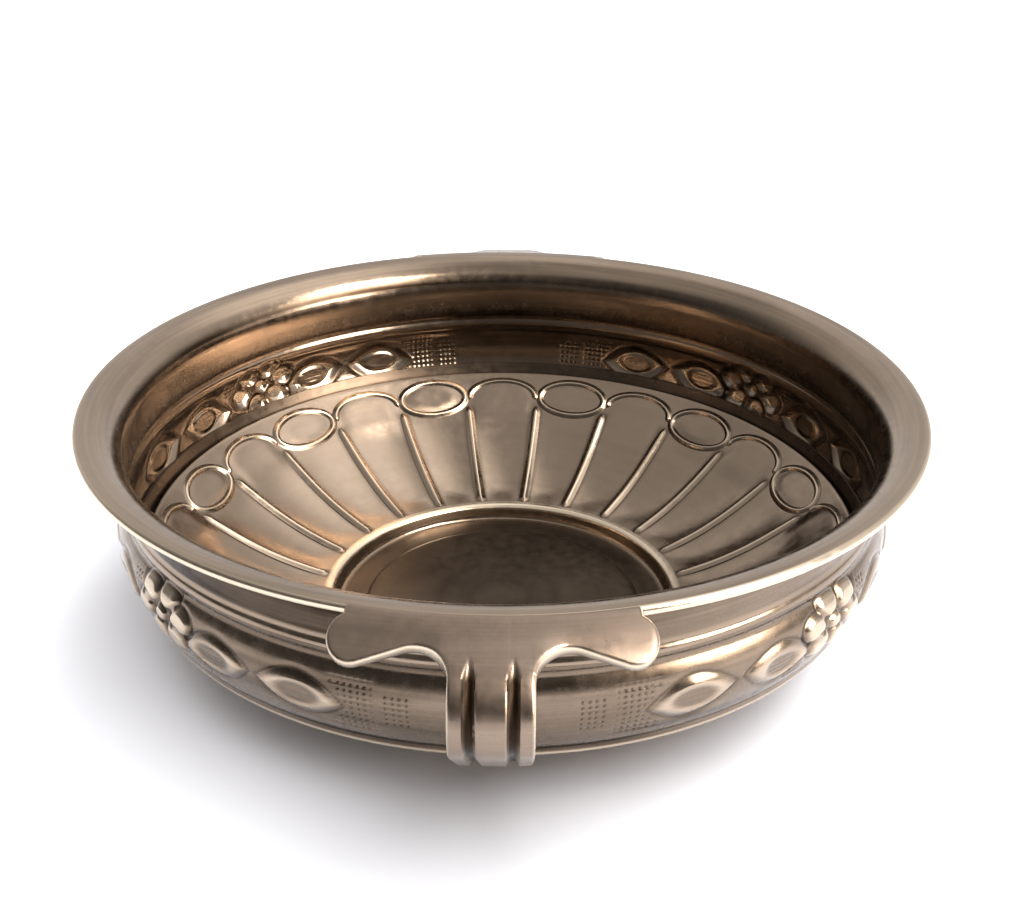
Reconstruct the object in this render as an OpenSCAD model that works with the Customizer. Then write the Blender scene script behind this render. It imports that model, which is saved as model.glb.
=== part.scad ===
// Urli: a wide shallow brass bowl, spun from two sheets, with two cast T handles.
// The bowl stands on Z = 0 with its axis on Z. The handles lie on -Y (front) and +Y (back).

/* [Bowl] */
// Diameter over the flared rim
rim_d = 300; // [280:1:330]
// Height from the foot to the top of the rim
bowl_h = 92; // [88:1:98]
// Thickness of the brass sheet
sheet_t = 1.5; // [1:0.1:2]
// Diameter of the rolled bead along the rim's edge
rim_bead_d = 3.4; // [3:0.1:4]
// Inside radius of the upright neck below the flare
neck_r = 133.8; // [132:0.1:135]
// Outside radius of the belly at its widest
belly_r = 138.4; // [137.5:0.1:140]
// Outside radius of the belly's lower edge
belly_foot_r = 131.6; // [130.5:0.1:132.5]
// Depth of the belly's lower edge below the top of the rim
belly_depth = 60.6; // [59:0.1:62]

/* [Fluted pan] */
// Radius of the pan's lip, where the flutes begin
lip_r = 130; // [129:0.1:130.5]
// Depth of the pan's lip below the top of the rim
lip_depth = 51.2; // [50:0.1:52.5]
// Radius at the inner ends of the flutes
flute_end_r = 67.8; // [65:0.1:70]
// Radius of the ring at the edge of the well
ring_r = 66; // [64:0.1:67]
// Radius at the foot of the ring's inner wall
well_r = 63.6; // [61:0.1:64.5]
// Radius of the raised disc in the middle
disc_r = 52.4; // [48:0.1:56]
// Height of the raised disc above the well
disc_h = 1.4; // [0.8:0.1:2]

/* [Handles] */
// Thickness of the handle's plate
plate_t = 4.8; // [4.4:0.1:5.6]
// Distance of each lobe's centre from the handle's middle line
lobe_x = 36.8; // [35:0.1:39]
// Radius of each lobe
lobe_r = 7.6; // [7:0.1:8.5]
// Width of the stem
stem_w = 23; // [22:0.5:26]
// Thickness of the stem
stem_t = 5; // [4.5:0.1:6]
// Distance of each groove's centre from the stem's middle line
groove_x = 5.8; // [5.4:0.1:6.4]
// Width of each groove
groove_w = 3.6; // [3:0.1:4.2]
// Depth of each groove
groove_depth = 1.6; // [1:0.1:2.2]

/* [Hidden] */
$fn = 96;

rim_r = rim_d / 2;
bead_r = rim_bead_d / 2;

// ---- Curves -------------------------------------------------------------

// Points along a curve that leaves a towards b and arrives at c
function bend(a, b, c, n) =
    [for (i = [0:n]) let (t = i / n) (1 - t) * (1 - t) * a + 2 * t * (1 - t) * b + t * t * c];

// Points along a circular arc, from angle a0 to angle a1
function arc(c, r, a0, a1, n) =
    [for (i = [0:n]) let (a = a0 + (a1 - a0) * i / n) c + r * [cos(a), sin(a)]];

function unit(v) = v / norm(v);
function at_left(v) = [-v[1], v[0]];
function reversed(p) = [for (i = [len(p) - 1:-1:0]) p[i]];
function without_first(p) = [for (i = [1:len(p) - 1]) p[i]];

// A copy of a path, moved by d to the left of its direction
function beside(p, d) =
    let (last = len(p) - 1)
    [for (i = [0:last])
        let (u = unit(p[min(i + 1, last)] - p[max(i - 1, 0)]))
        p[i] + d * at_left(u)];

// The height of a point that lies at a depth below the top of the rim
function up(r, depth) = [r, bowl_h - depth];

// ---- The upper sheet's inner face, from the rim down --------------------

flare_in = bend(up(rim_r - bead_r, 0), up(neck_r, 0.9), up(neck_r, 15), 10);
ledge_in = bend(up(neck_r, 21.5), up(neck_r, 24), up(neck_r + 1.1, 25.4), 4);
ledge_out = bend(up(neck_r + 1.1, 26.6), up(neck_r - 0.3, 29), up(neck_r + 1.1, 31.4), 6);
belly_in_r = belly_r - sheet_t;
belly_top = ledge_out[6];
belly_end = up(belly_foot_r - sheet_t, belly_depth - sheet_t);
// A bend's middle lies halfway to its control point, which sets the belly's width
belly_pull = 2 * belly_in_r - (belly_top[0] + belly_end[0]) / 2;
belly_steps = 16;
belly_in = bend(belly_top, up(belly_pull, 41), belly_end, belly_steps);
upper_in = concat(flare_in, ledge_in, ledge_out, without_first(belly_in));
upper_out = beside(upper_in, sheet_t);
// The belly's lower edge is rolled into a small bead
foot_bead_r = 1.4;

// ---- The pan's upper face, from the middle outwards -----------------------

well_z = sheet_t;
disc_z = well_z + disc_h;
ring_z = bowl_h - 85;
disc_edge = bend([disc_r - 2.2, disc_z], [disc_r, disc_z], [disc_r + 0.6, well_z], 4);
// The flat of the well, on which the bowl stands
well_flat = [[disc_r + 2.6, well_z], [well_r - 2, well_z]];
ring_foot = [ring_r - 1, ring_z - 1.2];
ring_wall = bend([well_r, well_z], [well_r + 1, well_z + 0.4], ring_foot, 4);
ring_crest = bend(ring_foot, [ring_r - 0.6, ring_z], [flute_end_r, ring_z + 0.2], 4);
// Slopes of the flutes at their inner and outer ends
flute_slope_in = 10;
flute_slope_out = 42;
flute_end = ring_crest[4];
lip = up(lip_r, lip_depth);
// Where the two slopes meet
knee_r = (lip[1] - flute_end[1] + flute_end[0] * tan(flute_slope_in) - lip[0] * tan(flute_slope_out))
    / (tan(flute_slope_in) - tan(flute_slope_out));
knee = [knee_r, flute_end[1] + (knee_r - flute_end[0]) * tan(flute_slope_in)];
flutes = bend(flute_end, knee, lip, 18);
dish = concat(disc_edge, well_flat, ring_wall, without_first(ring_crest), without_first(flutes));
// Past the lip the sheet drops into a gutter, and stands up again against the belly's wall
flange_top = 11;
gutter_wall = 13;
gutter_floor = 15;
flange_out = [for (i = [flange_top:gutter_floor]) belly_in[i]];
flange_in = beside([for (i = [gutter_wall:-1:flange_top]) belly_in[i]], sheet_t);
gutter = concat(
    bend(lip, lip + [0.9, 0.5], lip + [1.1, -1.4], 4),
    bend(lip + [1.2, -2.2], (lip + flange_in[0]) / 2 + [0.6, -3.4], flange_in[0], 4));

// ---- Handle, drawn at the back of the bowl --------------------------------

// Plan of the plate: a notch on each side of the stem, then a straight run to a round lobe
lobe = [lobe_x, rim_r + 3.2];
notch_r = 10;
notch = [stem_w / 2 + notch_r, rim_r + 18];
notch_to_lobe = lobe - notch;
run_angle = atan2(notch_to_lobe[1], notch_to_lobe[0]) + asin((notch_r + lobe_r) / norm(notch_to_lobe));
stem_corner = 215;
half_plan = concat(
    arc(notch, notch_r, stem_corner, 270 + run_angle, 10),
    arc(lobe, lobe_r, 90 + run_angle, -75, 14),
    [[lobe_x, rim_r - 10]]);
plate_plan = concat(half_plan, reversed([for (p = half_plan) [-p[0], p[1]]]));

// Sections, with the bowl's radius as X
handle_root = up(rim_r - 0.6, 0);
plate_top = bend(handle_root, up(rim_r + 7.5, 1.4), up(rim_r + 17, 9), 8);
// The stem slopes out from the rim, turns over in a round bend, and runs straight in to the belly's foot
stem_slope = 14;
stem_reach = 17;
bend_r = 15;
bend_middle = handle_root + [stem_reach * cos(stem_slope) - bend_r * sin(stem_slope),
    -stem_reach * sin(stem_slope) - bend_r * cos(stem_slope)];
stem_foot = up(belly_foot_r + 4.6, belly_depth + 0.6);
to_foot = stem_foot - bend_middle;
bend_end = atan2(to_foot[1], to_foot[0]) + acos(bend_r / norm(to_foot));
stem_bend = arc(bend_middle, bend_r, 90 - stem_slope, bend_end, 16);
stem_out = concat([handle_root], stem_bend, [stem_foot]);

// The outline of a strip that lies against the right-hand side of a path
function strip(path, t) = concat(path, reversed(beside(path, -t)));

module at_side(side) {
    rotate([0, 0, side == "front" ? 180 : 0])
        children();
}

// A spun sector that reaches half_angle to either side of +Y
module back_sector(half_angle) {
    rotate([0, 0, 90 - half_angle])
        rotate_extrude(angle = 2 * half_angle)
            children();
}

// ---- Bowl -----------------------------------------------------------------

module upper_section() {
    polygon(concat(upper_in, reversed(upper_out)));
    translate(up(rim_r - bead_r, bead_r))
        circle(r = bead_r, $fn = 32);
    translate(up(belly_foot_r - bead_r / 2, belly_depth - bead_r / 2))
        circle(r = foot_bead_r, $fn = 32);
}

module pan_section() {
    dish_under = beside([for (i = [0:len(dish) - 2]) dish[i]], -sheet_t);
    polygon(concat([[0, disc_z]], dish, without_first(gutter),
        flange_in, flange_out, reversed(dish_under), [[0, disc_h]]));
}

module upper_body() {
    color("#8a7358")
        rotate_extrude()
            upper_section();
}

module lower_pan() {
    color("#93795c")
        rotate_extrude()
            pan_section();
}

module seam_braze() {
    color("#6f5c45")
        rotate_extrude()
            difference() {
                polygon([belly_in[gutter_floor], belly_end, belly_end + [-4.5, 3]]);
                upper_section();
                pan_section();
            }
}

// ---- Handles --------------------------------------------------------------

module plate_section() {
    polygon(strip(plate_top, plate_t));
}

module stem_section() {
    polygon(strip(stem_out, stem_t));
}

module grooves() {
    groove_from = 2;
    face = [for (i = [groove_from:len(stem_out) - 1]) stem_out[i]];
    down = unit(stem_foot - stem_out[len(stem_out) - 2]);
    long_face = concat(face, [stem_foot + down * 2]);
    for (x = [-groove_x, groove_x])
        intersection() {
            back_sector(12)
                polygon(concat(beside(long_face, 2), reversed(beside(long_face, -groove_depth))));
            translate([x - groove_w / 2, 0, 0])
                cube([groove_w, 2 * rim_r, bowl_h]);
        }
}

module handle(side) {
    color("#85705a")
        at_side(side)
            difference() {
                union() {
                    intersection() {
                        back_sector(24)
                            plate_section();
                        linear_extrude(bowl_h + 1)
                            polygon(plate_plan);
                    }
                    intersection() {
                        back_sector(12)
                            stem_section();
                        translate([-stem_w / 2, 0, 0])
                            cube([stem_w, 2 * rim_r, bowl_h + 1]);
                    }
                }
                grooves();
                back_sector(26)
                    upper_section();
            }
}

module handle_front() {
    handle("front");
}

module handle_back() {
    handle("back");
}

// ---- Brazing --------------------------------------------------------------

// A fillet under the rim, along the root of the plate
module rim_braze(side) {
    half_angle = 13;
    color("#6f5c45")
        at_side(side)
            back_sector(half_angle)
                difference() {
                    polygon([up(rim_r - 5.5, 1.4), up(rim_r, 1.4), up(rim_r + 0.6, plate_t - 0.6)]);
                    upper_section();
                    plate_section();
                    stem_section();
                }
}

// A fillet between the belly and the back of the stem, just above the foot
module belly_braze(side) {
    half_angle = 4.8;
    color("#6f5c45")
        at_side(side)
            back_sector(half_angle)
                difference() {
                    polygon([up(belly_foot_r - 0.6, belly_depth - 0.8), up(belly_foot_r + 1.4, belly_depth - 6),
                        up(belly_foot_r + 4.4, belly_depth - 9), up(belly_foot_r + 8.6, belly_depth - 9),
                        up(belly_foot_r + 3, belly_depth - 0.8)]);
                    upper_section();
                    stem_section();
                }
}

module rim_braze_front() {
    rim_braze("front");
}

module rim_braze_back() {
    rim_braze("back");
}

module belly_braze_front() {
    belly_braze("front");
}

module belly_braze_back() {
    belly_braze("back");
}

upper_body();
lower_pan();
seam_braze();
handle_front();
handle_back();
rim_braze_front();
rim_braze_back();
belly_braze_front();
belly_braze_back();
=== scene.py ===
"""Urli: a wide shallow bowl of antiqued brass, spun in two sheets, chased, with two cast T handles.

It is laid out as an add-on. The sizes and colours are properties, each piece has its own operator,
and a panel in the 3D view's sidebar lists them. Sections are worked out in millimetres from the
bowl's axis, and become metres when a mesh is made. Z is up, and the handles lie on -Y and +Y.
"""

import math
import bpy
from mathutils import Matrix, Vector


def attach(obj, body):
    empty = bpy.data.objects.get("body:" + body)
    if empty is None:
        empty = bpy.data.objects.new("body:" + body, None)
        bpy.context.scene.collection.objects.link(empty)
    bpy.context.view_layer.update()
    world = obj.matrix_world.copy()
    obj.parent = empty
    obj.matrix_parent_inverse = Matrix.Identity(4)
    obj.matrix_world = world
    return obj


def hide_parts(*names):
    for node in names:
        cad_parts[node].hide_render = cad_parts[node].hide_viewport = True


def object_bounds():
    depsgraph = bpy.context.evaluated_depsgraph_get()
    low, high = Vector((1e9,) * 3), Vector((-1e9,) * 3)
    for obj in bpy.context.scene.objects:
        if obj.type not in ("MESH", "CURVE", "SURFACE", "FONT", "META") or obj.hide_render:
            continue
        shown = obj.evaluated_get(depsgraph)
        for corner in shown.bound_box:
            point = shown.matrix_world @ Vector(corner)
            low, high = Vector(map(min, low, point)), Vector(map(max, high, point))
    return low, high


bl_info = {
    "name": "Brass urli",
    "version": (1, 0, 0),
    "blender": (4, 5, 0),
    "location": "3D View > Sidebar > Urli",
    "description": "Builds a chased brass urli bowl on its CAD frame",
    "category": "Add Mesh",
}

import bmesh
import bpy
import numpy as np
from mathutils import Matrix, Vector

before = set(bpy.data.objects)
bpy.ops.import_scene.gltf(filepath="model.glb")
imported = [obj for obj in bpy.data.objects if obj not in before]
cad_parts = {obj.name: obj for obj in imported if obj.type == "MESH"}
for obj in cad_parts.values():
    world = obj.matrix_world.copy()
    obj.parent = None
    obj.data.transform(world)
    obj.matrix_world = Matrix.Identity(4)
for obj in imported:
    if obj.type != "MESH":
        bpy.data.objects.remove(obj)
CAD_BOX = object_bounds()

MM = 0.001
BODY = "root"
FULL_TURN = 2 * math.pi


def linear(hex_code):
    """An sRGB hex colour as linear red, green and blue."""
    parts = [int(hex_code[i:i + 2], 16) / 255 for i in (1, 3, 5)]
    return [c / 12.92 if c <= 0.04045 else ((c + 0.055) / 1.055) ** 2.4 for c in parts]


def length(name, description, default):
    """A size in metres, given in millimetres."""
    return bpy.props.FloatProperty(
        name=name, description=description, default=default * MM, min=0, unit="LENGTH", precision=5)


def colour(name, description, hex_code):
    """A colour property, given as an sRGB hex code."""
    return bpy.props.FloatVectorProperty(
        name=name, description=description, default=linear(hex_code), size=3, min=0, max=1, subtype="COLOR")


class UrliSizes(bpy.types.PropertyGroup):
    """Sizes of the bowl, its chasing and its handles"""

    rim_diameter: length("Rim diameter", "Diameter over the flared rim", (CAD_BOX[1].x - CAD_BOX[0].x) / MM)
    height: length("Height", "Height from the foot to the top of the rim", CAD_BOX[1].z / MM)
    sheet: length("Sheet", "Thickness of the brass sheet", 1.5)
    neck_radius: length("Neck radius", "Inside radius of the upright neck", 133.8)
    belly_radius: length("Belly radius", "Outside radius of the belly at its widest", 138.4)
    relief: length("Relief", "How far the chased motifs stand out of the belly", 1.0)
    outline_depth: length("Outline depth", "Depth of the line chased round each motif", 0.4)
    ridge_width: length("Ridge width", "Width of the lines raised between the flutes", 4.4)
    ridge_height: length("Ridge height", "Height of the lines raised between the flutes", 1.0)
    lobe_distance: length("Lobe distance", "From the handle's middle line to a lobe's centre", 36.8)
    lobe_radius: length("Lobe radius", "Radius of each lobe of a handle", 7.6)
    plate: length("Handle thickness", "Thickness of a handle's plate and stem", 4.9)
    stem_width: length("Stem width", "Width of a handle's stem", 23)
    groove_width: length("Groove width", "Width of each groove in a stem", 3.6)
    groove_depth: length("Groove depth", "Depth of each groove in a stem", 1.7)
    flutes: bpy.props.IntProperty(
        name="Flutes", description="Number of flutes round the pan, an even number", default=24, min=4)
    flute_turn: bpy.props.FloatProperty(
        name="Flute turn", description="Turn of the flutes from the handles, about the bowl's axis",
        default=math.radians(-1.0), subtype="ANGLE")


class UrliColours(bpy.types.PropertyGroup):
    """Colours of the metal and of the floor"""

    brass: colour("Brass", "Antiqued brass where it is polished through", "#8f7f6f")
    # Also the tone of the painted shade inside the neck, in the gutter and beside the flute lines
    patina_and_shade: colour("Patina", "Dark tone left in the hollows and chased lines", "#2a2017")
    # Bare brass, also the colour of the painted highlight on the rim's bead
    worn: colour("Worn edge", "Bare brass on ridges and edges", "#d0c0aa")
    cast: colour("Cast brass", "Filed face of the handles", "#837467")
    braze: colour("Braze", "Joints between the pieces", "#6f5a40")
    floor: colour("Floor", "Plain floor and backdrop", "#f1f2f7")


def sizes():
    """The sizes set for this scene, in metres."""
    return bpy.context.scene.urli_sizes


def mm(value):
    """Metres as millimetres."""
    return value / MM


# ---- Curves in a section, as rows of (radius, height) in millimetres -------------------------


def bend(start, pull, end, steps):
    """A curve that leaves start towards pull and arrives at end."""
    t = np.linspace(0, 1, steps + 1)[:, None]
    return (1 - t) ** 2 * np.array(start) + 2 * t * (1 - t) * np.array(pull) + t * t * np.array(end)


def directions(path):
    """Unit directions along a path at each of its points."""
    ahead = np.vstack([path[1:], path[-1:]])
    behind = np.vstack([path[:1], path[:-1]])
    along = ahead - behind
    return along / np.linalg.norm(along, axis=1)[:, None]


def beside(path, distance):
    """A copy of a path, moved to the left of its direction."""
    along = directions(path)
    return path + distance * np.stack([-along[:, 1], along[:, 0]], axis=1)


def lengths(path):
    """Distance along a path to each of its points."""
    return np.concatenate([[0], np.cumsum(np.linalg.norm(np.diff(path, axis=0), axis=1))])


def spaced(path, gap):
    """The same path with points a gap apart."""
    run = lengths(path)
    count = max(1, round(run[-1] / gap))
    at = np.linspace(0, run[-1], count + 1)
    return np.stack([np.interp(at, run, path[:, 0]), np.interp(at, run, path[:, 1])], axis=1)


def arc(centre, radius, start, end, steps):
    """Part of a circle, between two angles in degrees."""
    angle = np.radians(np.linspace(start, end, steps + 1))
    return np.array(centre) + radius * np.stack([np.cos(angle), np.sin(angle)], axis=1)


def up(radius, depth):
    """A point at a depth below the top of the rim."""
    return (radius, mm(sizes().height) - depth)


def smooth(low, high, value):
    """0 up to low, 1 from high, and an even rise between."""
    t = np.clip((value - low) / (high - low), 0, 1)
    return t * t * (3 - 2 * t)


# ---- Sections of the bowl ---------------------------------------------------------------------

# Radii of the round edges at the rim and at the belly's foot
RIM_BEAD = 1.7
FOOT_BEAD = 1.4
# Depth at which the rim and neck piece ends and the belly begins, in the crease below the ledge
CREASE = 26.0
# Radius and depth of the belly's foot, on the sheet's outer face
BELLY_FOOT = (131.6, 60.6)
# Depths down the inside: where the neck stands upright, where the ledge begins and where it ends
UPRIGHT = 15
LEDGE = 21.5
LEDGE_FOOT = 31.4
# How far the belly steps out from the neck under the ledge
STEP_OUT = 1.1


def neck_face():
    """Inner face of the upper sheet, from the top of the rim bead to the crease."""
    rim = mm(sizes().rim_diameter) / 2
    neck = mm(sizes().neck_radius)
    flare = spaced(bend(up(rim - RIM_BEAD, 0), up(neck, 0.9), up(neck, UPRIGHT), 60), 0.9)
    wall = spaced(np.array([up(neck, UPRIGHT), up(neck, LEDGE)]), 1.3)[1:]
    ledge = bend(up(neck, LEDGE), up(neck, 24), up(neck + STEP_OUT, 25.4), 8)[1:]
    return np.vstack([flare, wall, ledge, [up(neck + STEP_OUT, 25.7), up(neck + STEP_OUT, CREASE)]])


def belly_face():
    """Inner face of the upper sheet, from the crease to the foot."""
    neck = mm(sizes().neck_radius)
    widest = mm(sizes().belly_radius - sizes().sheet)
    top = up(neck + STEP_OUT, LEDGE_FOOT)
    foot = up(BELLY_FOOT[0] - 1.5, BELLY_FOOT[1] - 1.5)
    pull = 2 * widest - (top[0] + foot[0]) / 2
    ledge = bend(up(neck + STEP_OUT, 26.6), up(neck - 0.3, 29), top, 10)
    wall = spaced(bend(top, up(pull, 41), foot, 120), 0.5)[1:]
    return np.vstack([[up(neck + STEP_OUT, CREASE), up(neck + STEP_OUT, 26.3)], ledge, wall])


def joined_at_bead(path, centre, radius):
    """The part of a path outside a bead, and the angle at which it meets the bead, in degrees."""
    outside = np.linalg.norm(path - np.array(centre), axis=1) > radius
    kept = path[outside]
    last = kept[-1] - np.array(centre)
    return kept, math.degrees(math.atan2(last[1], last[0]))


def rim_section():
    """Closed outline of the rim and neck: inner face, outer face and the bead between them."""
    rim = mm(sizes().rim_diameter) / 2
    sheet = mm(sizes().sheet)
    inner = neck_face()
    centre = up(rim - RIM_BEAD, RIM_BEAD)
    outer, meets = joined_at_bead(beside(inner, sheet)[::-1], centre, RIM_BEAD)
    bead = arc(centre, RIM_BEAD, meets - 360 if meets > 0 else meets, 90, 28)[1:-1]
    return np.vstack([inner, outer, bead])


def belly_section():
    """Closed outline of the belly's wall, with the bead at its foot."""
    sheet = mm(sizes().sheet)
    inner = belly_face()
    centre = up(BELLY_FOOT[0] - 0.85, BELLY_FOOT[1] - 0.85)
    outer = beside(inner, sheet)
    inner, inner_meets = joined_at_bead(inner, centre, FOOT_BEAD)
    outer, outer_meets = joined_at_bead(outer, centre, FOOT_BEAD)
    begin = inner_meets - 360 if inner_meets > 90 else inner_meets
    bead = arc(centre, FOOT_BEAD, begin, outer_meets, 14)[1:-1]
    return np.vstack([inner, bead, outer[::-1]])


# Heights over the floor of the disc, the well round it and the ring's crest
DISC_HEIGHT = 2.9
WELL_HEIGHT = 1.5
RING_HEIGHT = 7.0
# Where the ring's inner wall ends, and where the flutes begin, as (radius, height)
RING_WALL_TOP = (65, 5.8)
FLUTE_END = (67.8, 7.2)
# Radius and depth of the pan's lip
LIP = (130.0, 51.2)
# Slopes of the dish beside the ring and beside the lip, in degrees
SLOPE_IN = 10
SLOPE_OUT = 42


def dish_face():
    """Upper face of the fluted pan, from the middle to the lip."""
    lip = np.array(up(*LIP))
    slope_in = math.tan(math.radians(SLOPE_IN))
    slope_out = math.tan(math.radians(SLOPE_OUT))
    start = np.array(FLUTE_END)
    knee_r = (lip[1] - start[1] + start[0] * slope_in - lip[0] * slope_out) / (slope_in - slope_out)
    knee = (knee_r, start[1] + (knee_r - start[0]) * slope_in)
    disc = [(radius, DISC_HEIGHT) for radius in (0, 12, 24, 36, 46)]
    disc_edge = bend((50.2, DISC_HEIGHT), (52.4, DISC_HEIGHT), (53, WELL_HEIGHT), 6)
    well = [(radius, WELL_HEIGHT) for radius in (55, 58.3, 61.6)]
    ring_wall = bend((63.6, WELL_HEIGHT), (64.6, 1.9), RING_WALL_TOP, 8)
    crest = bend(RING_WALL_TOP, (65.4, RING_HEIGHT), FLUTE_END, 8)[1:]
    flutes = spaced(bend(start, knee, lip, 200), 1.25)[1:]
    return np.vstack([disc, disc_edge, well, ring_wall, crest, flutes])


def pan_section():
    """Outline of the pan: dish, gutter behind the lip, flange against the belly, and underside."""
    sheet = mm(sizes().sheet)
    dish = dish_face()
    lip = dish[-1]
    height = mm(sizes().height)
    # The flange stands against the belly between these depths
    depths = np.linspace(48.4, 56.9, 9)
    belly = belly_face()
    rising = belly[np.argsort(-belly[:, 1])][::-1]
    wall_r = np.interp([height - d for d in depths], rising[:, 1], rising[:, 0])
    wall = np.stack([wall_r, height - depths], axis=1)
    flange = beside(wall[4::-1], sheet)
    round_over = bend(lip, lip + [0.9, 0.5], lip + [1.1, -1.4], 5)[1:]
    gutter = bend(lip + [1.2, -2.2], (lip + flange[0]) / 2 + [0.6, -3.4], flange[0], 6)
    flange_top = bend(flange[-1], (flange[-1] + wall[0]) / 2 + [0, 0.6], wall[0], 4)[1:-1]
    under = beside(dish[1:-1], -sheet)[::-1]
    return np.vstack([dish, round_over, gutter, flange[1:], flange_top, wall, under, [(0, 1.4)]])


# ---- Meshes ---------------------------------------------------------------------------------


def spin_section(section, closed, turn, start, steps):
    """A section spun about the bowl's axis. An eighth is spun, and copies of it make up the rest."""
    bm = bmesh.new()
    verts = [bm.verts.new((r * MM * math.cos(start), r * MM * math.sin(start), z * MM)) for r, z in section]
    edges = [bm.edges.new(pair) for pair in zip(verts, verts[1:])]
    if closed:
        edges.append(bm.edges.new((verts[-1], verts[0])))
    reach = turn / 8
    bmesh.ops.spin(bm, geom=verts + edges, cent=(0, 0, 0), axis=(0, 0, 1), angle=reach, steps=steps // 8)
    for _ in range(3):
        copy = bmesh.ops.duplicate(bm, geom=bm.verts[:] + bm.edges[:] + bm.faces[:])
        copied = [g for g in copy["geom"] if isinstance(g, bmesh.types.BMVert)]
        bmesh.ops.rotate(bm, verts=copied, cent=(0, 0, 0), matrix=Matrix.Rotation(reach, 3, "Z"))
        reach *= 2
    bmesh.ops.remove_doubles(bm, verts=bm.verts[:], dist=1e-6)
    if turn < FULL_TURN:
        bmesh.ops.edgeloop_fill(bm, edges=[e for e in bm.edges if e.is_boundary])
    bmesh.ops.recalc_face_normals(bm, faces=bm.faces[:])
    return bm


def places(mesh):
    """Places of a mesh's vertices, in mm."""
    flat = np.empty(len(mesh.vertices) * 3)
    mesh.vertices.foreach_get("co", flat)
    return flat.reshape(-1, 3) / MM


def place(mesh, points):
    """Moves a mesh's vertices to points in mm."""
    mesh.vertices.foreach_set("co", (points * MM).ravel())
    mesh.update()


def facing_out(mesh, points):
    """1 on the outer face of the bowl's wall and 0 on the inner."""
    flat = np.empty(len(mesh.vertices) * 3)
    mesh.vertices.foreach_get("normal", flat)
    normal = flat.reshape(-1, 3)
    return (normal[:, 0] * points[:, 0] + normal[:, 1] * points[:, 1] > 0).astype(float)


def mark(mesh, name, values):
    """Writes one number for each vertex, for a material to read."""
    layer = mesh.attributes.new(name, "FLOAT", "POINT")
    layer.data.foreach_set("value", values.astype(np.float32))


def piece(bm, name, material, sharp=40):
    """A finished object from a bmesh, riding on the bowl."""
    for face in bm.faces:
        face.smooth = True
    mesh = bpy.data.meshes.new(name)
    bm.to_mesh(mesh)
    bm.free()
    mesh.set_sharp_from_angle(angle=math.radians(sharp))
    mesh.materials.append(material)
    obj = bpy.data.objects.new(name, mesh)
    bpy.context.scene.collection.objects.link(obj)
    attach(obj, BODY)
    return obj


# ---- Chased relief of the belly ----------------------------------------------------------------
# s is the distance along the belly from the nearest handle, and d the depth below the rim, in mm.

BAND_MIDDLE = 43.2
FLOWER_AT = 120
FLOWER_MIDDLE = 39.5
# The belly's middle radius turns an angle into s, which reaches QUARTER_RUN in a quarter turn
BELLY_MIDDLE_R = 137.0
QUARTER_RUN = 215.2
# Each almond's s, half length, half height and lean in degrees
ALMONDS = ((60, 15.5, 8.2, -4), (93, 15.5, 8.0, 6), (154, 15.5, 8.4, -5), (189, 17.0, 8.4, 4))
# s and half length of the oval pressed into each almond
EYES = ((60, 8.2), (93, 7.8), (154, 7.6), (189, 8.2))
EYE_HALF_HEIGHT = 4.3
# Fields of punch marks, as s from and to, and depth from and to
FIELDS = ((24, 33, 36, 50), (35.5, 50, 34, 53), (98, 107, 46, 53), (133, 142, 32, 38))


def almond(s, d, middle, half_length, half_height, lean=0.0):
    """Rough distance in mm inside the outline of an almond with pointed ends, negative outside."""
    a = math.radians(lean)
    x = (s - middle) * math.cos(a) + (d - BAND_MIDDLE) * math.sin(a)
    y = (d - BAND_MIDDLE) * math.cos(a) - (s - middle) * math.sin(a)
    return (1 - (x / half_length) ** 2 - np.abs(y) / half_height) * half_height * 0.8


def oval(s, d, middle, depth, half_length, half_height):
    """Rough distance in mm inside an oval, negative outside."""
    reach = np.hypot((s - middle) / half_length, (d - depth) / half_height)
    return (1 - reach) * min(half_length, half_height)


def raised(inside, rise, line):
    """A pillow that starts at an outline, with a chased line along the outline."""
    return rise * smooth(0.2, 3.6, inside) - line * np.exp(-(inside / 0.8) ** 2)


def punched(s, d, pitch):
    """Rows of small round punch marks."""
    rows = np.cos(FULL_TURN * s / pitch) * 0.5 + 0.5
    columns = np.cos(FULL_TURN * d / pitch) * 0.5 + 0.5
    return -rows * columns


def patch(s, d, s0, s1, d0, d1):
    """1 inside a field of punch marks and 0 outside."""
    edge = 0.8
    return (smooth(s0 - edge, s0 + edge, s) * (1 - smooth(s1 - edge, s1 + edge, s))
            * smooth(d0 - edge, d0 + edge, d) * (1 - smooth(d1 - edge, d1 + edge, d)))


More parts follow.
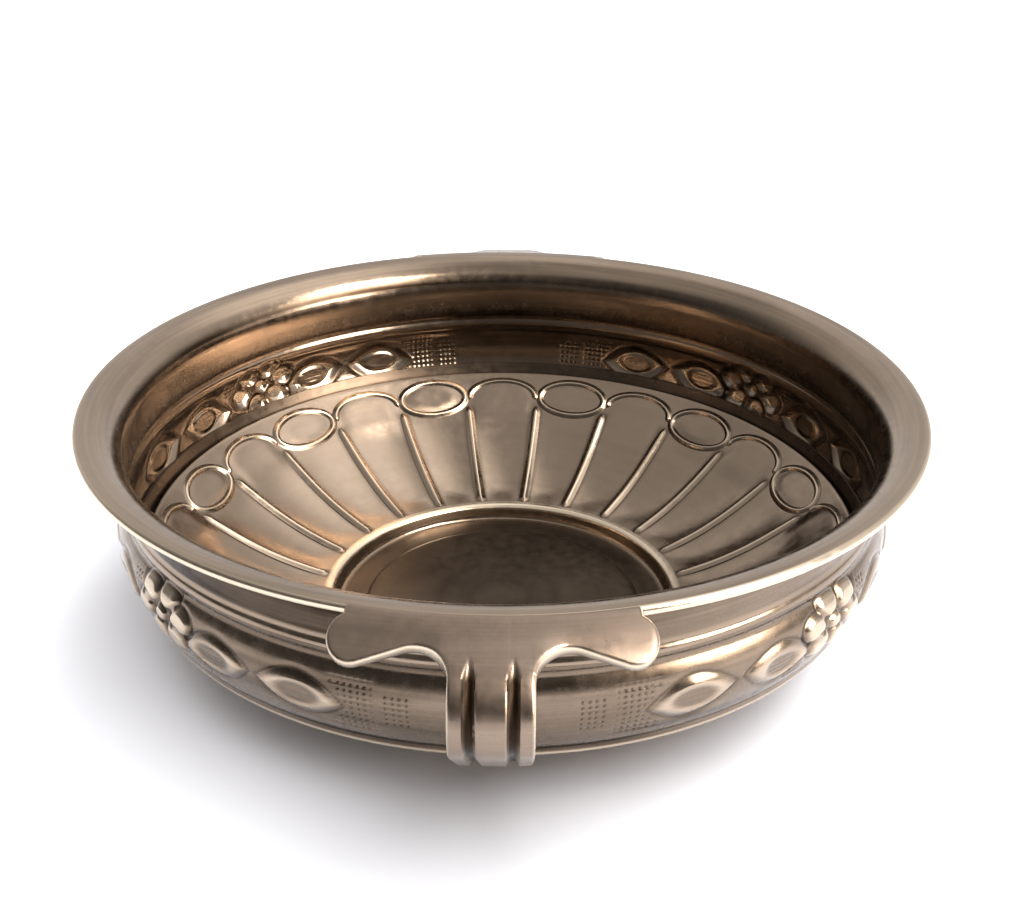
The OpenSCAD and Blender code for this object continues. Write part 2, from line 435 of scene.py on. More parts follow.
def belly_relief(s, d):
    """How far the chased sheet stands out of the plain belly, in mm."""
    rise = mm(sizes().relief)
    line = mm(sizes().outline_depth)
    out = np.zeros_like(s)
    shapes = [almond(s, d, *sizes_of) for sizes_of in ALMONDS]
    for inside in shapes:
        out += np.where(inside > -2.5, raised(inside, rise, line), 0)
    for middle, half in EYES:
        inner = oval(s, d, middle, BAND_MIDDLE, half, EYE_HALF_HEIGHT)
        out -= 0.8 * rise * smooth(-0.6, 1.4, inner)
    for middle in (93, 154):
        inner = oval(s, d, middle, BAND_MIDDLE, 6.4, 3.4)
        out += 0.3 * punched(s, d, 1.7) * smooth(0, 1, inner)
    # Flower: a ring of six petals round a small boss
    petals = np.full_like(s, -9.0)
    grooves = np.zeros_like(s)
    for k in range(6):
        a = math.radians(60 * k + 12)
        petal = oval(s, d, FLOWER_AT + 11.2 * math.cos(a), FLOWER_MIDDLE + 7.8 * math.sin(a), 6.3, 5.2)
        petals = np.maximum(petals, petal)
        grooves = np.maximum(grooves, np.exp(-(petal / 0.65) ** 2))
    out += 1.2 * rise * smooth(0, 2.6, petals) - line * grooves
    boss = oval(s, d, FLOWER_AT, FLOWER_MIDDLE, 3.6, 3.2)
    out += 1.1 * rise * smooth(0, 1.6, boss)
    # Punch marks beside the almonds and the flower
    fields = sum(patch(s, d, *field) for field in FIELDS)
    clear = 1 - smooth(-2.2, -1.2, np.maximum(shapes[0], petals))
    return out + 0.5 * punched(s, d, 2.1) * np.clip(fields, 0, 1) * clear


def handle_distance(points):
    """Distance along the belly from the nearest handle's middle line, in mm."""
    angle = np.arctan2(np.abs(points[:, 0]), np.abs(points[:, 1]))
    return angle * BELLY_MIDDLE_R


def column_angles(steps):
    """Where the belly's columns stand over a quarter turn, closer together where the chasing is fine."""
    at = np.linspace(0, QUARTER_RUN, 2000)
    fine = 0.35 + 0.9 * smooth(18, 21, at) * (1 - 0.45 * smooth(44, 46, at))
    fine += 0.5 * smooth(99, 102, at) * (1 - smooth(138, 142, at))
    total = np.concatenate([[0], np.cumsum((fine[1:] + fine[:-1]) / 2)])
    return np.interp(np.linspace(0, total[-1], steps + 1), total, at) / QUARTER_RUN * math.pi / 2


RIM_STEPS = 288
BELLY_QUARTER_STEPS = 276
PAN_STEPS = 480


class URLI_OT_rim(bpy.types.Operator):
    """Spins the flared rim with its wired edge, the neck and the ledge"""

    bl_idname = "urli.rim"
    bl_label = "Rim and neck"

    def execute(self, context):
        bm = spin_section(rim_section(), True, FULL_TURN, 0, RIM_STEPS)
        obj = piece(bm, "rim_and_neck", spun_brass())
        points = places(obj.data)
        radius = np.hypot(points[:, 0], points[:, 1])
        angle = np.arctan2(points[:, 1], points[:, 0])
        # A hand-finished sheet is never quite round
        wave = 0.10 * np.sin(5 * angle + 0.7) + 0.07 * np.sin(11 * angle + 2.1)
        below_rim = smooth(1, 12, mm(sizes().height) - points[:, 2])
        scale = 1 + wave * below_rim / radius
        points[:, 0] *= scale
        points[:, 1] *= scale
        place(obj.data, points)
        depth = mm(sizes().height) - points[:, 2]
        bead_r = mm(sizes().rim_diameter) / 2 - RIM_BEAD
        # The rim's bead is marked bare: worn brass, and a painted highlight along the lip
        mark(obj.data, "wear_and_painted_highlight", smooth(-0.3, 1.7, radius - bead_r) * (depth < 3.6))
        outside = radius > mm(sizes().neck_radius) + 0.8
        # The outer neck is darkened from 5 to 23 mm down, more on the -X side
        heavy = 0.4 + 0.45 * smooth(-60, 100, -points[:, 0])
        outer_neck_darkening = heavy * smooth(5, 8, depth) * (1 - smooth(21.5, 23, depth)) * outside
        # Inside, the neck and ledge are darkened from 14 to 25 mm down, under the flare: painted shade
        mark(obj.data, "patina_and_painted_shade", np.maximum(smooth(14, 25, depth) * 0.6 * ~outside, outer_neck_darkening))
        return {"FINISHED"}


class URLI_OT_belly(bpy.types.Operator):
    """Spins the two halves of the belly and chases their motifs"""

    bl_idname = "urli.belly"
    bl_label = "Chased belly"

    def execute(self, context):
        steps = BELLY_QUARTER_STEPS
        quarter = column_angles(steps)
        half = np.concatenate([quarter, math.pi - quarter[-2::-1]])
        even = np.linspace(0, math.pi, 2 * steps + 1)
        halves = []
        for name, start in (("belly_right", -math.pi / 2), ("belly_left", math.pi / 2)):
            bm = spin_section(belly_section(), True, math.pi, start, 2 * steps)
            obj = piece(bm, name, spun_brass())
            points = places(obj.data)
            radius = np.hypot(points[:, 0], points[:, 1])
            angle = (np.arctan2(points[:, 1], points[:, 0]) - start) % FULL_TURN
            angle = np.where(angle > math.pi + 1, 0, angle)
            angle = np.interp(angle, even, half) + start
            points[:, 0] = radius * np.cos(angle)
            points[:, 1] = radius * np.sin(angle)
            depth = mm(sizes().height) - points[:, 2]
            in_band = smooth(28, 31, depth) * (1 - smooth(53, 55.5, depth))
            out = belly_relief(handle_distance(points), depth) * in_band
            # A line chased round the foot of the band
            out -= 0.5 * np.exp(-((depth - 57.2) / 0.7) ** 2)
            points[:, 0] += out * np.cos(angle)
            points[:, 1] += out * np.sin(angle)
            place(obj.data, points)
            foot = smooth(59.2, 60.2, depth)
            mark(obj.data, "wear_and_painted_highlight", np.maximum(smooth(0.4, 1.3, out) * 0.6, foot * 0.7))
            ground = 0.36 * (1 - smooth(0.1, 0.6, out)) * facing_out(obj.data, points) * (1 - foot)
            mark(obj.data, "patina_and_painted_shade", np.maximum(smooth(0.0, 0.6, -out), ground))
            halves.append(obj)
        for obj in halves + [bpy.data.objects["rim_and_neck"]]:
            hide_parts("upper_body")
        return {"FINISHED"}


# ---- Fluted pan ---------------------------------------------------------------------------------

# Radii of the arches' centres and tops, and of both ends of the straight lines
JUNCTION_R = 121.4
ARCH_TOP_R = 127.4
LINE_TOP_R = 117.2
LINE_FOOT_R = 68.6
# Half width of an arch and of an oval, in flutes, and the oval's half length in mm
ARCH_SPAN = 0.47
OVAL_SPAN = 0.46
OVAL_HALF = 6.2
# Half the turn of an arch's line, in radians
ARCH_SWEEP = math.radians(97)


def ribbon(bm, path, width, height, closed):
    """A raised line along a path on the pan. path takes 0 to 1 and gives azimuths and radii."""
    grid = bmesh.ops.create_grid(bm, x_segments=72, y_segments=10, size=1)
    verts = grid["verts"]
    uv = np.array([v.co[:2] for v in verts])
    t = (uv[:, 0] + 1) / 2
    azimuth, radius = path(t)
    ahead = path(t + 1e-3)
    behind = path(t - 1e-3)
    along = on_pan(*ahead) - on_pan(*behind)
    along /= np.linalg.norm(along, axis=1)[:, None]
    middle = on_pan(azimuth, radius)
    normal = pan_normal(azimuth, radius)
    side = np.cross(normal, along)
    taper = np.ones_like(t) if closed else smooth(-0.02, 0.05, t) * (1 - smooth(0.95, 1.02, t))
    profile = np.clip(1.12 - np.sqrt(uv[:, 1] ** 2 + 0.0144), 0, 1) ** 1.4
    points = (middle + side * (uv[:, 1] * width / 2 * (0.35 + 0.65 * taper))[:, None]
              + normal * (profile * height * taper - 0.06)[:, None])
    for v, p in zip(verts, points):
        v.co = Vector(p) * MM


def straight_line(azimuth):
    """Path of the straight line between two flutes."""
    return lambda t: (azimuth + 0 * t, LINE_FOOT_R + (LINE_TOP_R - LINE_FOOT_R) * t)


def arch_line(middle, pitch):
    """Path of the arch over a flute's head."""
    def path(t):
        a = 2 * ARCH_SWEEP * t - ARCH_SWEEP
        rise = (ARCH_TOP_R - JUNCTION_R) * np.cos(a)
        return middle + ARCH_SPAN * pitch * np.sin(a), JUNCTION_R - 0.6 + rise
    return path


def oval_line(middle, pitch):
    """Path of the oval at a flute's head."""
    def path(t):
        a = FULL_TURN * t
        return middle + OVAL_SPAN * pitch * np.sin(a), JUNCTION_R - 0.2 + OVAL_HALF * np.cos(a)
    return path


def pan_height(radius):
    """Height of the pan's plain upper face, in mm."""
    dish = dish_face()
    return np.interp(radius, dish[:, 0], dish[:, 1])


def on_pan(azimuth, radius):
    """Points on the pan's upper face. An azimuth is measured from +Y towards +X."""
    height = pan_height(radius) + flute_swell(azimuth, radius)
    return np.stack([radius * np.sin(azimuth), radius * np.cos(azimuth), height], axis=1)


def pan_normal(azimuth, radius):
    """Unit normals of the pan's plain upper face."""
    slope = (pan_height(radius + 0.5) - pan_height(radius - 0.5))
    n = np.stack([-slope * np.sin(azimuth), -slope * np.cos(azimuth), np.ones_like(slope)], axis=1)
    return n / np.linalg.norm(n, axis=1)[:, None]


def flute_swell(azimuth, radius):
    """Rise in mm over the plain face: each flute is dished, and each arch or oval at its head is domed."""
    pitch = FULL_TURN / sizes().flutes
    place_in = ((azimuth - sizes().flute_turn) / pitch + 0.5) % 1 - 0.5
    dish = 0.9 * ((2 * place_in) ** 2 - 0.6) * smooth(68, 80, radius) * (1 - smooth(108, 116, radius))
    flute = np.round((azimuth - sizes().flute_turn) / pitch) % 2
    across = np.abs(place_in) / ARCH_SPAN
    ring = 1 - np.hypot(across, (radius - JUNCTION_R) / OVAL_HALF)
    head = 1 - np.hypot(across, np.maximum(radius - JUNCTION_R, 0) / (ARCH_TOP_R - JUNCTION_R))
    dome = np.where(flute == 1, smooth(0, 0.5, ring), smooth(0, 0.4, head) * smooth(104, 118, radius))
    return dish + 0.8 * dome


class URLI_OT_pan(bpy.types.Operator):
    """Spins the pan, sinks its flutes and raises the lines between them"""

    bl_idname = "urli.pan"
    bl_label = "Fluted pan"

    def execute(self, context):
        bm = spin_section(pan_section(), False, FULL_TURN, 0, PAN_STEPS)
        pan = piece(bm, "fluted_pan", pan_brass())
        points = places(pan.data)
        radius = np.hypot(points[:, 0], points[:, 1])
        azimuth = np.arctan2(points[:, 0], points[:, 1])
        points[:, 2] += flute_swell(azimuth, radius) * (radius < 129)
        place(pan.data, points)
        mark(pan.data, "wear_and_painted_highlight", smooth(64, 66, radius) * (1 - smooth(67.5, 69, radius)))
        # The well keeps patina, and the gutter behind the lip is darkened with patina and painted shade
        left = 0.6 * smooth(130.5, 131.5, radius) + (1 - smooth(61, 64.5, radius)) * 0.75
        mark(pan.data, "patina_and_painted_shade", np.maximum(line_shade(azimuth, radius), left))
        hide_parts("lower_pan")
        bm = bmesh.new()
        flutes = sizes().flutes
        pitch = FULL_TURN / flutes
        turn = sizes().flute_turn
        width = mm(sizes().ridge_width)
        height = mm(sizes().ridge_height)
        for k in range(flutes):
            middle = turn + k * pitch
            ribbon(bm, straight_line(middle + pitch / 2), width, height, False)
            if k % 2 == 0:
                ribbon(bm, arch_line(middle, pitch), width * 0.85, height, False)
            else:
                ribbon(bm, oval_line(middle, pitch), width * 0.85, height, True)
        bmesh.ops.remove_doubles(bm, verts=bm.verts[:], dist=1e-5)
        lines = piece(bm, "flute_lines", pan_brass(), sharp=80)
        uplift = line_height(places(lines.data))
        mark(lines.data, "wear_and_painted_highlight", 0.7 * smooth(0.72, 0.9, uplift))
        # The foot of each raised line is darkened: patina in the crease, and painted shade
        mark(lines.data, "patina_and_painted_shade", 0.5 * (1 - smooth(0.05, 0.4, uplift)))
        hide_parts("lower_pan")
        return {"FINISHED"}


def line_height(points):
    """How far points stand above the pan's plain face, in mm."""
    radius = np.hypot(points[:, 0], points[:, 1])
    azimuth = np.arctan2(points[:, 0], points[:, 1])
    return points[:, 2] - pan_height(radius) - flute_swell(azimuth, radius)


def line_shade(azimuth, radius):
    """Patina that the polishing leaves beside the lines, with painted shade there, from 0 to 1."""
    pitch = FULL_TURN / sizes().flutes
    place_in = ((azimuth - sizes().flute_turn) / pitch) % 1 - 0.5
    away = np.abs(place_in) * pitch * radius
    return 0.6 * (1 - smooth(1.6, 3.6, away)) * smooth(67, 69, radius) * (1 - smooth(116, 119, radius))


# ---- Handles ------------------------------------------------------------------------------------


# The stem slopes out from the rim at this many degrees and for this far, turns over in a round bend of
# this radius, and runs straight in to the belly's foot
STEM_SLOPE = 14
STEM_REACH = 17
STEM_BEND = 15
# Offset of a groove from the stem's middle line, and how far from the handle's root the grooves open
GROOVE_OFFSET = 5.8
GROOVE_FROM = (15.5, 23.5)


def handle_paths():
    """Outer faces of the plate and of the stem, as (radius, height) along their length."""
    rim = mm(sizes().rim_diameter) / 2
    lead = np.array([up(rim - 1.8, 0.02)])
    plate = bend(up(rim - 0.6, 0), up(rim + 7.5, 1.4), up(rim + 17, 9), 60)
    root = np.array(up(rim - 0.6, 0))
    slope = math.radians(STEM_SLOPE)
    middle = root + [STEM_REACH * math.cos(slope) - STEM_BEND * math.sin(slope),
                     -STEM_REACH * math.sin(slope) - STEM_BEND * math.cos(slope)]
    foot = np.array(up(BELLY_FOOT[0] + 4.6, BELLY_FOOT[1] + 0.6))
    to_foot = foot - middle
    end = math.degrees(math.atan2(to_foot[1], to_foot[0]) + math.acos(STEM_BEND / np.linalg.norm(to_foot)))
    turn = arc(middle, STEM_BEND, 90 - STEM_SLOPE, end, 80)
    out = spaced(np.array([root, turn[0]]), 0.5)
    back = spaced(np.array([turn[-1], foot]), 0.5)
    return np.vstack([lead, plate]), np.vstack([lead, out, turn[1:], back[1:]])


def along_plate(radius):
    """Distance along the plate's outer face to a radius."""
    plate = handle_paths()[0]
    return np.interp(radius, plate[:, 0], lengths(plate))


def handle_outline():
    """Half of the T-shaped blank, as (x, distance along it) in mm, from the foot round to the rim."""
    rim = mm(sizes().rim_diameter) / 2
    half_stem = mm(sizes().stem_width) / 2
    lobe_r = mm(sizes().lobe_radius)
    lobe = np.array([mm(sizes().lobe_distance), rim + 3.2])
    notch_r = 10.0
    notch = np.array([half_stem + notch_r, rim + 18])
    run = lobe - notch
    slant = math.degrees(math.atan2(run[1], run[0]) + math.asin((notch_r + lobe_r) / np.linalg.norm(run)))
    plan = np.vstack([arc(notch, notch_r, 182, 270 + slant, 22), arc(lobe, lobe_r, 90 + slant, -62, 26)])
    flat = along_plate(np.hypot(plan[:, 0], plan[:, 1]))
    blank = np.stack([plan[:, 0], flat], axis=1)
    total = lengths(handle_paths()[1])[-1]
    corner = arc((half_stem - 1.6, total - 1.6), 1.6, 90, 0, 4)
    side = np.array([[half_stem, total - 20], [half_stem, total - 36]])
    half = np.vstack([corner, side, blank[blank[:, 1] > 0.7]])
    last = half[-1]
    return np.vstack([half, [last[0] - 0.3, 0.6]])


def bent_handle(points):
    """Bends a flat blank to the bowl's side. z of a point is its height under the outer face."""
    plate, stem = handle_paths()
    x, u, w = points[:, 0], points[:, 1], points[:, 2]
    spots = []
    for path in (plate, stem):
        run = lengths(path)
        along = directions(path)
        where = np.stack([np.interp(u, run, path[:, 0]), np.interp(u, run, path[:, 1])], axis=1)
        heading = np.stack([np.interp(u, run, along[:, 0]), np.interp(u, run, along[:, 1])], axis=1)
        inward = np.stack([heading[:, 1], -heading[:, 0]], axis=1)
        spots.append(where + w[:, None] * inward)
    on_stem = 1 - smooth(13, 21, np.abs(x))
    spot = spots[0] * (1 - on_stem)[:, None] + spots[1] * on_stem[:, None]
    return np.stack([x, np.sqrt(np.maximum(spot[:, 0] ** 2 - x * x, 1)), spot[:, 1]], axis=1)


def groove_cut(x, u):
    """Depth of the stem's two grooves, which start in a point at the bend."""
    total = lengths(handle_paths()[1])[-1]
    centre = GROOVE_OFFSET - 0.4 * smooth(10, total, u)
    open_out = smooth(*GROOVE_FROM, u)
    reach = np.abs(np.abs(x) - centre) / (mm(sizes().groove_width) / 2 * (0.25 + 0.75 * open_out))
    return mm(sizes().groove_depth) * open_out * np.clip(1 - reach ** 2.2, 0, 1)


def handle_mesh(side):
    """A bent handle on one side of the bowl, with how far each vertex is worn and hollow."""
    thick = mm(sizes().plate)
    outline = handle_outline()
    bm = bmesh.new()
    ring = [bm.verts.new((x, u, 0)) for x, u in np.vstack([outline, outline[::-1] * [-1, 1]])]
    face = bm.faces.new(ring)
    grown = bmesh.ops.extrude_face_region(bm, geom=[face])
    moved = [g for g in grown["geom"] if isinstance(g, bmesh.types.BMVert)]
    bmesh.ops.translate(bm, verts=moved, vec=(0, 0, thick))
    bmesh.ops.recalc_face_normals(bm, faces=bm.faces[:])
    level = [e for e in bm.edges if abs(e.verts[0].co.z - e.verts[1].co.z) < 1e-6]
    border = [e for e in level if max(v.co.y for v in e.verts) > 0.61]
    bmesh.ops.bevel(bm, geom=border, offset=1.15, segments=4, profile=0.5, affect="EDGES", material=-1)
    total = lengths(handle_paths()[1])[-1]
    fine = [s * (5.6 + dx) for s in (-1, 1) for dx in np.arange(-2.4, 2.5, 0.4)]
    coarse = list(np.arange(-44, 45, 2.2))
    cuts = [((x, 0, 0), (1, 0, 0)) for x in sorted(fine + coarse)]
    bends = list(np.arange(1.2, 52, 0.8)) + list(np.arange(52.5, total, 3.2))
    cuts += [((0, u, 0), (0, 1, 0)) for u in bends]
    for spot, facing in cuts:
        whole = bm.verts[:] + bm.edges[:] + bm.faces[:]
        bmesh.ops.bisect_plane(bm, geom=whole, plane_co=spot, plane_no=facing)
    points = np.array([v.co[:] for v in bm.verts])
    on_face = 1 - smooth(0.0, 2.6, points[:, 2])
    cut = groove_cut(points[:, 0], points[:, 1])
    points[:, 2] += cut * on_face
    worn = smooth(0.02, 0.7, points[:, 2] - cut) * (1 - smooth(1.0, 2.4, points[:, 2] - cut))
    patina_and_painted_shade = smooth(0.5, 1.6, cut)
    bent = bent_handle(points)
    if side < 0:
        bent[:, :2] *= -1
    for v, p in zip(bm.verts, bent):
        v.co = Vector(p) * MM
    bmesh.ops.recalc_face_normals(bm, faces=bm.faces[:])
    return bm, worn, patina_and_painted_shade


class URLI_OT_handles(bpy.types.Operator):
    """Cuts, rounds, grooves and bends the two T handles"""

    bl_idname = "urli.handles"
    bl_label = "Handles"

    def execute(self, context):
        for name, side in (("handle_front", -1), ("handle_back", 1)):
            bm, worn, patina_and_painted_shade = handle_mesh(side)
            obj = piece(bm, "cast_" + name, cast_brass(), sharp=50)
            mark(obj.data, "wear_and_painted_highlight", worn)
            mark(obj.data, "patina_and_painted_shade", patina_and_painted_shade)
            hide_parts(name)
        return {"FINISHED"}


class URLI_OT_joints(bpy.types.Operator):
    """Gives the brazed joints of the CAD frame their finish"""

    bl_idname = "urli.joints"
    bl_label = "Brazed joints"

    def execute(self, context):
        material = braze_metal()
        for name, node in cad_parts.items():
            if "braze" in name:
                node.data.materials.clear()
                node.data.materials.append(material)
        return {"FINISHED"}


# ---- Materials ------------------------------------------------------------------------------------


def add(tree, kind, links=(), **settings):
    """One node, with its settings, and links into it as (socket, output)."""
    node = tree.nodes.new(kind)
    values = settings.pop("values", {})
    for name, value in settings.items():
        setattr(node, name, value)
    for socket, value in values.items():
        node.inputs[socket].default_value = value
    for socket, output in links:
        tree.links.new(output, node.inputs[socket])
    return node


def fresh(name):
    """A new material with no nodes yet."""
    material = bpy.data.materials.new(name)
    material.use_nodes = True
    material.node_tree.nodes.clear()
    return material


def rgba(value):
    """A colour with full opacity."""
    return (*value, 1.0)


def antiqued(name, base, roughness, spin_marks, grain):
    """Brass darkened with patina and polished back.

    It is dark in the hollows, from patina and from painted shade, and bare on the edges, with a painted
    highlight on the rim's bead, and carries the marks of the lathe.
    """
    if name in bpy.data.materials:
        return bpy.data.materials[name]
    colours = bpy.context.scene.urli_colours
    material = fresh(name)
    tree = material.node_tree
    coords = add(tree, "ShaderNodeTexCoord").outputs["Object"]
    parts = add(tree, "ShaderNodeSeparateXYZ", [(0, coords)])
    across = add(tree, "ShaderNodeMath", [(0, parts.outputs[0]), (1, parts.outputs[0])], operation="MULTIPLY")
    squares = [(0, parts.outputs[1]), (1, parts.outputs[1]), (2, across.outputs[0])]
    reach = add(tree, "ShaderNodeMath", squares, operation="MULTIPLY_ADD")
    radius = add(tree, "ShaderNodeMath", [(0, reach.outputs[0])], operation="SQRT")
    ring = add(tree, "ShaderNodeCombineXYZ", [(0, radius.outputs[0]), (2, parts.outputs[2])])
    # Fine rings left by the spinning tool, 0.9 mm apart, and broader ones 9 mm apart
    lathe = add(tree, "ShaderNodeTexNoise", [("Vector", ring.outputs[0])],
                values={"Scale": 1 / 0.0009, "Detail": 3.0})
    broad = add(tree, "ShaderNodeTexNoise", [("Vector", ring.outputs[0])],
                values={"Scale": 1 / 0.009, "Detail": 2.0})
    # Clouds of uneven patina 45 mm across, and a grain of 4 mm that breaks up the gloss
    cloud = add(tree, "ShaderNodeTexNoise", [("Vector", coords)],
                values={"Scale": 1 / 0.045, "Detail": 4.0, "Roughness": 0.6})
    speck = add(tree, "ShaderNodeTexNoise", [("Vector", coords)], values={"Scale": 1 / 0.004, "Detail": 3.0})
    wear_and_painted_highlight = add(tree, "ShaderNodeAttribute", attribute_name="wear_and_painted_highlight")
    patina_and_painted_shade = add(tree, "ShaderNodeAttribute", attribute_name="patina_and_painted_shade")
    mottle = add(tree, "ShaderNodeMapRange", [("Value", cloud.outputs["Fac"])],
                 values={"From Min": 0.4, "From Max": 0.75, "To Min": 0.0, "To Max": 0.16})
    # Streaks of patina that run round the bowl, 7 mm apart, and wander as they go
    wander = add(tree, "ShaderNodeVectorMath", [(0, coords), (2, ring.outputs[0])], operation="MULTIPLY_ADD",
                 values={1: (0.07, 0.07, 0.0)})
    streak = add(tree, "ShaderNodeTexNoise", [("Vector", wander.outputs[0])],
                 values={"Scale": 1 / 0.007, "Detail": 2.5})
    band = add(tree, "ShaderNodeMapRange", [("Value", streak.outputs["Fac"])],
               values={"From Min": 0.45, "From Max": 0.7, "To Min": 0.0, "To Max": 0.9 * spin_marks})
    left = add(tree, "ShaderNodeMath", [(0, mottle.outputs[0]), (1, band.outputs[0])], operation="ADD")
    dark = add(tree, "ShaderNodeMath", [(0, patina_and_painted_shade.outputs["Fac"]), (1, left.outputs[0])],
               operation="ADD", use_clamp=True)
    toned = add(tree, "ShaderNodeMix", [("Factor", dark.outputs[0])], data_type="RGBA",
                values={"A": rgba(base), "B": rgba(colours.patina_and_shade)})
    bare = add(tree, "ShaderNodeMix", [("Factor", wear_and_painted_highlight.outputs["Fac"]), ("A", toned.outputs["Result"])],
               data_type="RGBA", values={"B": rgba(colours.worn)})
    tint = add(tree, "ShaderNodeMapRange", [("Value", lathe.outputs["Fac"])],
               values={"From Min": 0.25, "From Max": 0.75,
                       "To Min": 1 - 0.35 * spin_marks, "To Max": 1 + 0.2 * spin_marks})
    shade = add(tree, "ShaderNodeVectorMath", [(0, bare.outputs["Result"]), (3, tint.outputs[0])],
                operation="SCALE")
    dull = add(tree, "ShaderNodeMapRange", [("Value", speck.outputs["Fac"])],
               values={"From Min": 0.3, "From Max": 0.7,
                       "To Min": roughness - 0.05, "To Max": roughness + 0.07})
    rough = add(tree, "ShaderNodeMath", [(0, patina_and_painted_shade.outputs["Fac"]), (2, dull.outputs[0])],
                operation="MULTIPLY_ADD", values={1: 0.18})
    marks = add(tree, "ShaderNodeMath", [(0, lathe.outputs["Fac"]), (1, broad.outputs["Fac"])],
                operation="ADD")
    turned = add(tree, "ShaderNodeBump", [("Height", marks.outputs[0])],
                 values={"Strength": spin_marks, "Distance": 0.00006})
    pitted = add(tree, "ShaderNodeBump", [("Height", speck.outputs["Fac"]), ("Normal", turned.outputs[0])],
                 values={"Strength": grain, "Distance": 0.00015})
    looks = [("Base Color", shade.outputs[0]), ("Roughness", rough.outputs[0]), ("Normal", pitted.outputs[0])]
    shader = add(tree, "ShaderNodeBsdfPrincipled", looks, values={"Metallic": 1.0})
    add(tree, "ShaderNodeOutputMaterial", [("Surface", shader.outputs[0])])
    return material


def spun_brass():
    """Spun brass sheet: satin, ringed by the tool, brown where the patina is left and where shade is painted.
    """
    base = bpy.context.scene.urli_colours.brass
    return antiqued("spun_antiqued_brass", base, roughness=0.18, spin_marks=0.42, grain=0.12)


def pan_brass():
    """Chased brass sheet: smoother than the spun wall, with the same patina and painted shade."""
    base = bpy.context.scene.urli_colours.brass
    return antiqued("chased_antiqued_brass", base, roughness=0.2, spin_marks=0.09, grain=0.16)


def cast_brass():
    """Cast and filed brass: duller, with a fine grain."""
    base = bpy.context.scene.urli_colours.cast
    return antiqued("cast_filed_brass", base, roughness=0.31, spin_marks=0.2, grain=0.4)


def braze_metal():
    """Braze left as it set: dull and brown."""
    base = bpy.context.scene.urli_colours.braze
    return antiqued("dull_braze", base, roughness=0.45, spin_marks=0.0, grain=0.8)


def floor_paper():
    """Matt paper: pale and even, with a fine fibre."""
    material = fresh("matt_paper")
    tree = material.node_tree
    coords = add(tree, "ShaderNodeTexCoord").outputs["Object"]
    fibre = add(tree, "ShaderNodeTexNoise", [("Vector", coords)], values={"Scale": 900.0, "Detail": 2.0})
    bump = add(tree, "ShaderNodeBump", [("Height", fibre.outputs["Fac"])],
               values={"Strength": 0.05, "Distance": 0.0002})
    shader = add(tree, "ShaderNodeBsdfPrincipled", [("Normal", bump.outputs[0])],
                 values={"Base Color": rgba(bpy.context.scene.urli_colours.floor), "Roughness": 0.8})
    add(tree, "ShaderNodeOutputMaterial", [("Surface", shader.outputs[0])])
    return material


# ---- Stage ----------------------------------------------------------------------------------------

# Camera: where it stands, what it looks at, its lens and sensor in mm, and its roll in degrees
CAMERA_SEAT = (0.00768, -0.46538, 0.30047)
CAMERA_AIM = (0.00344, 0, 0.06494)
CAMERA_LENS = 49.69
CAMERA_SENSOR = 36
CAMERA_ROLL = 0.316
# Broad lights over the floor that the brass doesn't mirror, as name, azimuth in degrees and power in watts
FILLS = (("back_fill", 48, 48), ("front_fill", 158, 66))
FLOOR_HALF = 4


def softbox(name, place_at, aim, width, height, power, tint="#ffffff"):
    """A soft rectangular lamp at a place, turned to what it lights."""
    light = bpy.data.lights.new(name, "AREA")
    light.shape = "RECTANGLE"
    light.size = width
    light.size_y = height
    light.energy = power
    light.color = linear(tint)
    obj = bpy.data.objects.new(name, light)
    bpy.context.scene.collection.objects.link(obj)
    obj.location = place_at
    obj.rotation_euler = (Vector(aim) - Vector(place_at)).to_track_quat("-Z", "Y").to_euler()
    return obj


def around(azimuth, elevation, distance):
    """A spot round the bowl. Azimuth is from +Y towards +X, and elevation above the floor, in degrees."""
    a = math.radians(azimuth)
    e = math.radians(elevation)
    out = distance * math.cos(e)
    return (out * math.sin(a), out * math.cos(a), distance * math.sin(e))


def studio_world():
    """A plain white room: bright behind the bowl and on its right, dim on the near side and the left."""
    world = bpy.data.worlds.new("studio")
    world.use_nodes = True
    tree = world.node_tree
    tree.nodes.clear()
    way = add(tree, "ShaderNodeTexCoord").outputs["Generated"]
    parts = add(tree, "ShaderNodeSeparateXYZ", [(0, way)])
    toward = add(tree, "ShaderNodeMath", [(0, parts.outputs[0]), (2, parts.outputs[1])],
                 operation="MULTIPLY_ADD", values={1: 0.6})
    low = add(tree, "ShaderNodeMapRange", [("Value", toward.outputs[0])], interpolation_type="SMOOTHSTEP",
              values={"From Min": -0.8, "From Max": 0.8, "To Min": 0.18, "To Max": 1.15})
    aside = add(tree, "ShaderNodeMath", [(0, parts.outputs[1]), (2, parts.outputs[0])],
                operation="MULTIPLY_ADD", values={1: 0.5})
    above = add(tree, "ShaderNodeMapRange", [("Value", aside.outputs[0])], interpolation_type="SMOOTHSTEP",
                values={"From Min": 0.06, "From Max": 0.48, "To Min": 0.75, "To Max": 2.7})
    high = add(tree, "ShaderNodeMapRange", [("Value", parts.outputs[2])], interpolation_type="SMOOTHSTEP",
               values={"From Min": 0.58, "From Max": 0.88})
    level = add(tree, "ShaderNodeMix",
                [("Factor", high.outputs[0]), ("A", low.outputs[0]), ("B", above.outputs[0])])
    sky = add(tree, "ShaderNodeBackground", [("Strength", level.outputs[0])],
              values={"Color": (1.0, 0.975, 0.96, 1.0)})
    # Seen directly, the room is plain white
    backdrop = add(tree, "ShaderNodeBackground", values={"Color": (1.0, 1.0, 1.0, 1.0), "Strength": 1.0})
    seen = add(tree, "ShaderNodeLightPath").outputs["Is Camera Ray"]
    room = add(tree, "ShaderNodeMixShader", [(0, seen), (1, sky.outputs[0]), (2, backdrop.outputs[0])])
    add(tree, "ShaderNodeOutputWorld", [("Surface", room.outputs[0])])
    return world


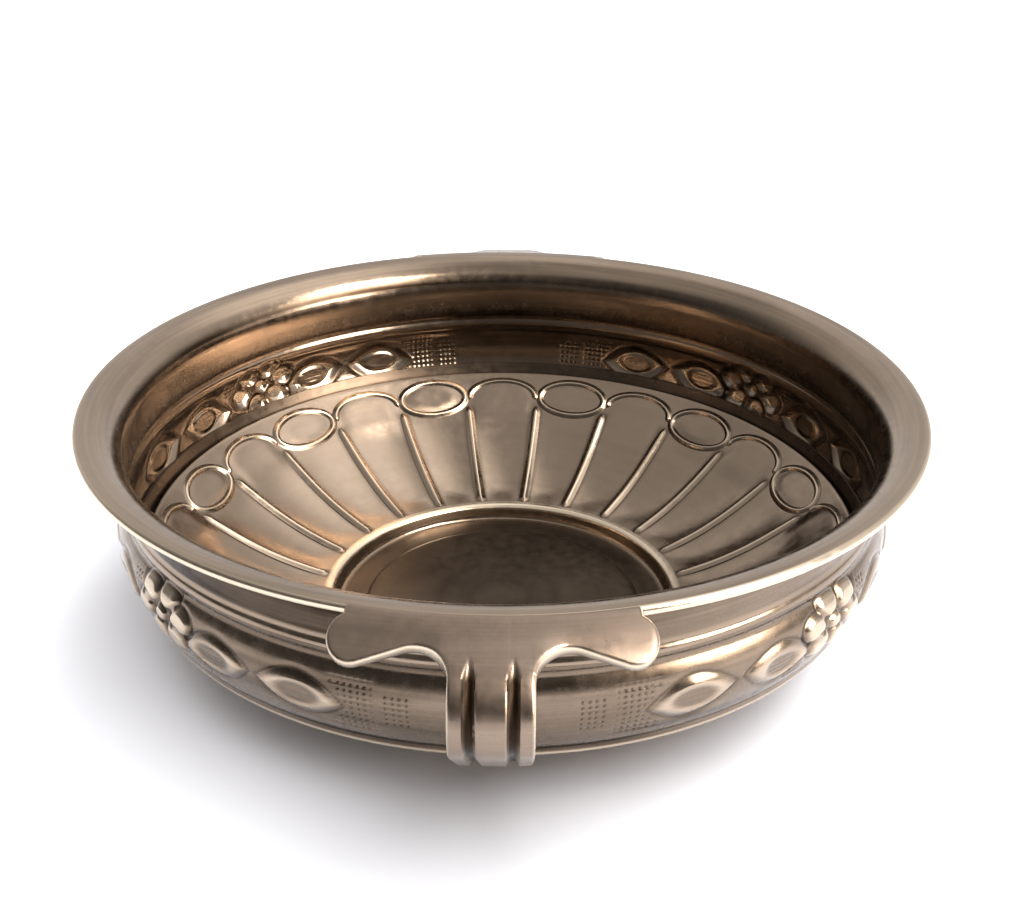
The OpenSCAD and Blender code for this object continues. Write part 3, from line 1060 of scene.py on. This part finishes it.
class URLI_OT_stage(bpy.types.Operator):
    """Makes the floor, the lights and the camera"""

    bl_idname = "urli.stage"
    bl_label = "Stage"

    def execute(self, context):
        scene = context.scene
        bm = bmesh.new()
        bmesh.ops.create_grid(bm, x_segments=1, y_segments=1, size=FLOOR_HALF)
        mesh = bpy.data.meshes.new("floor")
        bm.to_mesh(mesh)
        bm.free()
        mesh.materials.append(floor_paper())
        floor = bpy.data.objects.new("floor", mesh)
        scene.collection.objects.link(floor)
        scene.world = studio_world()
        window = softbox("window_light", around(120, 36, 1.6), (0, 0, 0.05), 0.75, 1.6, 84, "#fff3e6")
        window.visible_diffuse = False
        for name, azimuth, power in FILLS:
            fill = softbox(name, around(azimuth, 60, 2.4), (0, 0, 0), 1.8, 1.8, power)
            fill.visible_glossy = False
        camera = bpy.data.cameras.new("camera")
        camera.sensor_width = CAMERA_SENSOR
        camera.lens = CAMERA_LENS
        obj = bpy.data.objects.new("camera", camera)
        scene.collection.objects.link(obj)
        seat = Vector(CAMERA_SEAT)
        look = (Vector(CAMERA_AIM) - seat).to_track_quat("-Z", "Y").to_matrix()
        turn = look @ Matrix.Rotation(math.radians(CAMERA_ROLL), 3, "Z")
        obj.matrix_world = Matrix.Translation(seat) @ turn.to_4x4()
        scene.camera = obj
        scene.view_settings.view_transform = "Standard"
        return {"FINISHED"}


class URLI_PT_panel(bpy.types.Panel):
    """Sizes, colours and pieces of the urli"""

    bl_label = "Urli"
    bl_space_type = "VIEW_3D"
    bl_region_type = "UI"
    bl_category = "Urli"

    def draw(self, context):
        for group in (context.scene.urli_sizes, context.scene.urli_colours):
            for name in group.__annotations__:
                self.layout.prop(group, name)
        for operator in OPERATORS:
            self.layout.operator(operator.bl_idname)


OPERATORS = (URLI_OT_rim, URLI_OT_belly, URLI_OT_pan, URLI_OT_handles, URLI_OT_joints, URLI_OT_stage)
CLASSES = (UrliSizes, UrliColours, *OPERATORS, URLI_PT_panel)


def register():
    """Adds the classes and the scene's properties."""
    for item in CLASSES:
        bpy.utils.register_class(item)
    bpy.types.Scene.urli_sizes = bpy.props.PointerProperty(type=UrliSizes)
    bpy.types.Scene.urli_colours = bpy.props.PointerProperty(type=UrliColours)


def unregister():
    """Takes them away again."""
    del bpy.types.Scene.urli_colours
    del bpy.types.Scene.urli_sizes
    for item in reversed(CLASSES):
        bpy.utils.unregister_class(item)


def main():
    register()
    bpy.ops.urli.rim()
    bpy.ops.urli.belly()
    bpy.ops.urli.pan()
    bpy.ops.urli.handles()
    bpy.ops.urli.joints()
    bpy.ops.urli.stage()


if __name__ == "__main__":
    main()
